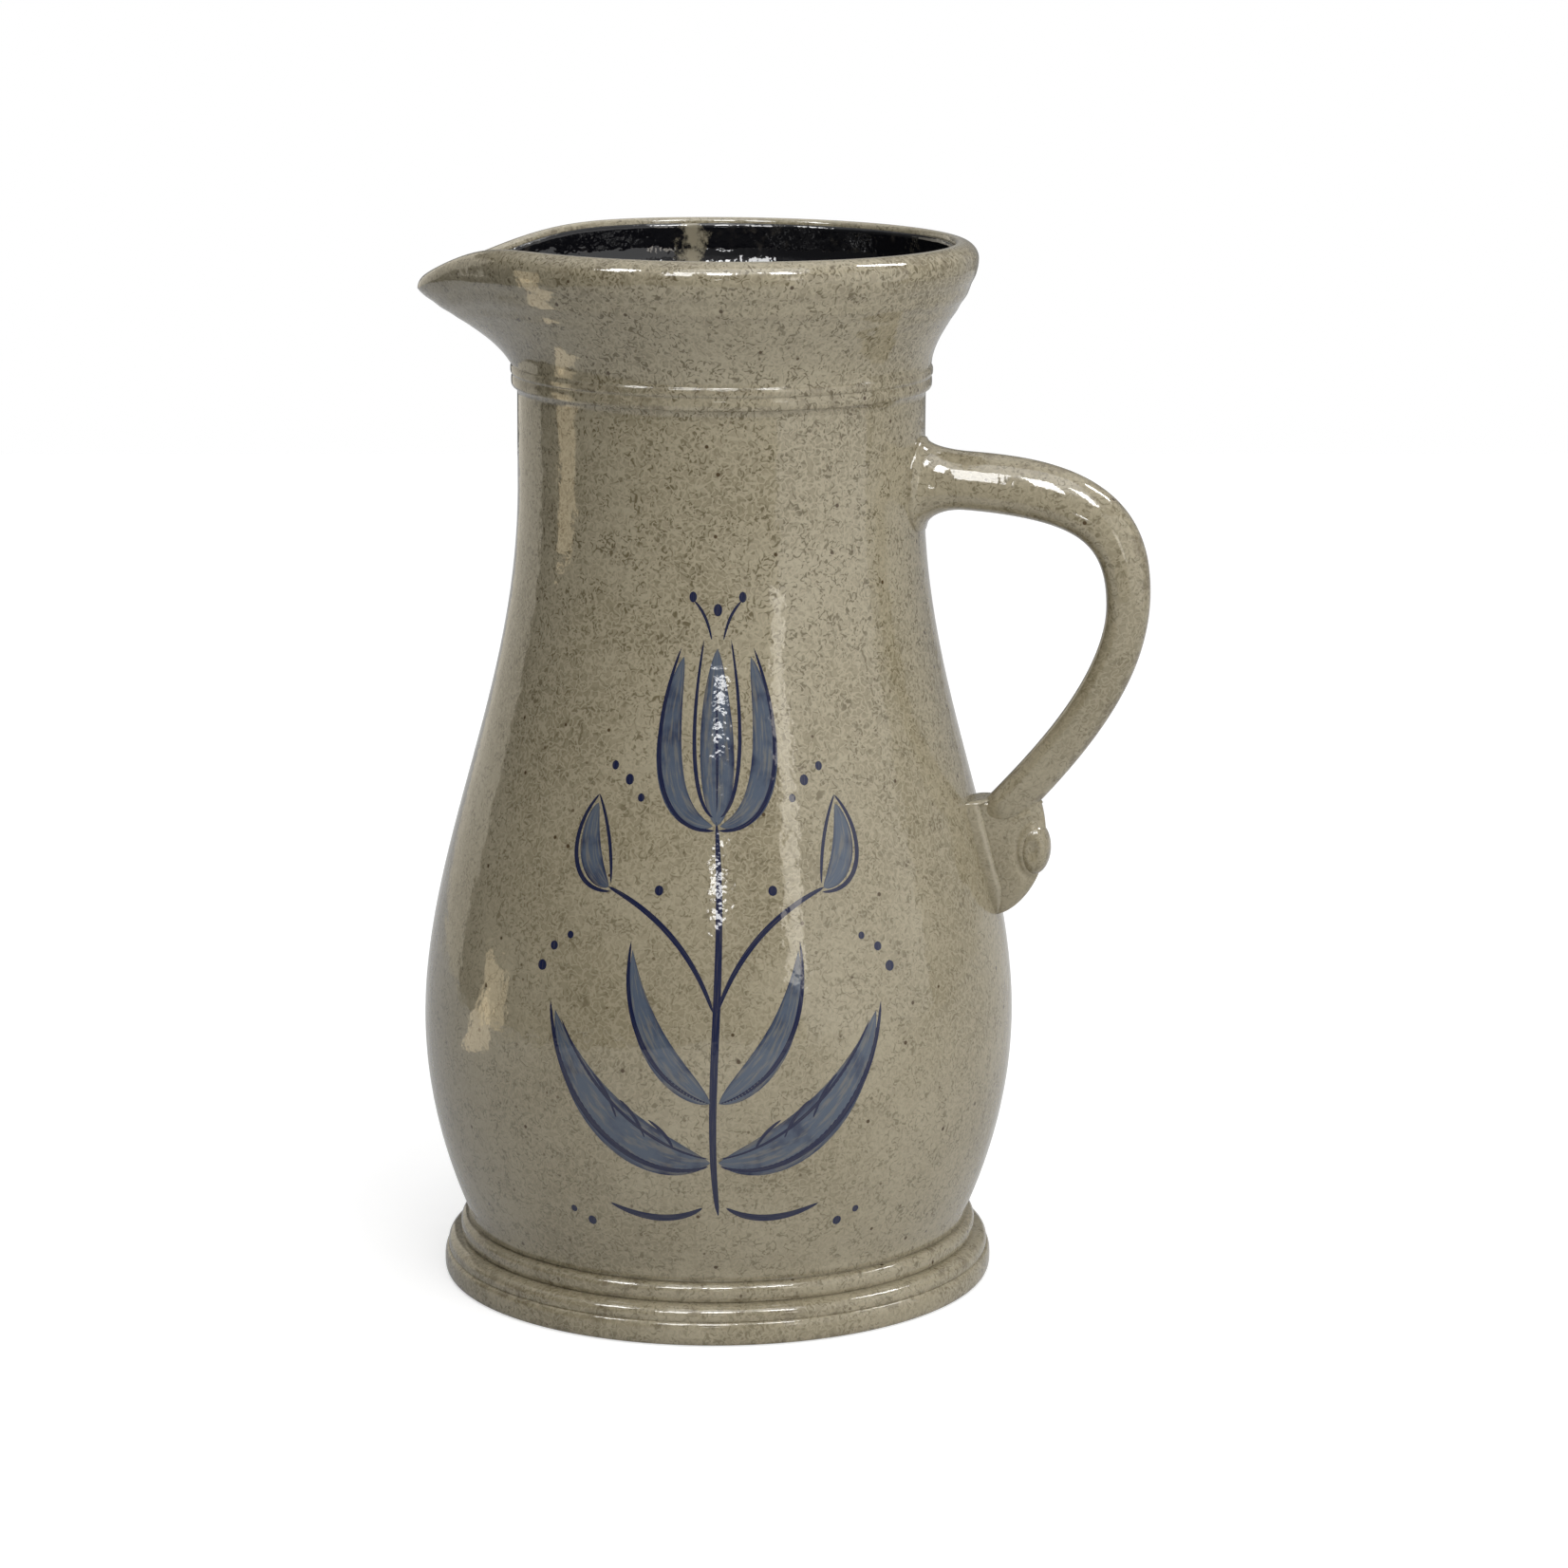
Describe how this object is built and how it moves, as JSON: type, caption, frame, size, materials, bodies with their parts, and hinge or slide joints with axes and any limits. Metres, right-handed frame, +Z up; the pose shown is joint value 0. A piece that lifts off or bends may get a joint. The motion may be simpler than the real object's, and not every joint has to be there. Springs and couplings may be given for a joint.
{
  "type": "stoneware pitcher",
  "caption": "Salt-glazed stoneware pitcher with a moulded foot ring, a flared neck with a pulled pouring lip, a dark slip lining and a pulled side handle with a boss.",
  "frame": {"origin": "centre of the flat underside of the thrown body, on the table it stands on", "axes": "+Z up along the turned axis, +X towards the handle, -X towards the pouring lip"},
  "size_m": [0.1832, 0.1478, 0.2602],
  "materials": {
    "stoneware": "glossy salt glaze, grey-tan with fine iron speckle",
    "dark_slip": "glossy near-black slip glaze"
  },
  "bodies": {
    "root": {"thrown_body": "stoneware", "foot_ring": "stoneware", "neck_section": "stoneware", "slip_lining": "dark_slip", "handle": "stoneware", "root_coil": "stoneware", "lower_terminal": "stoneware", "terminal_boss": "stoneware"}
  },
  "joints": []
}
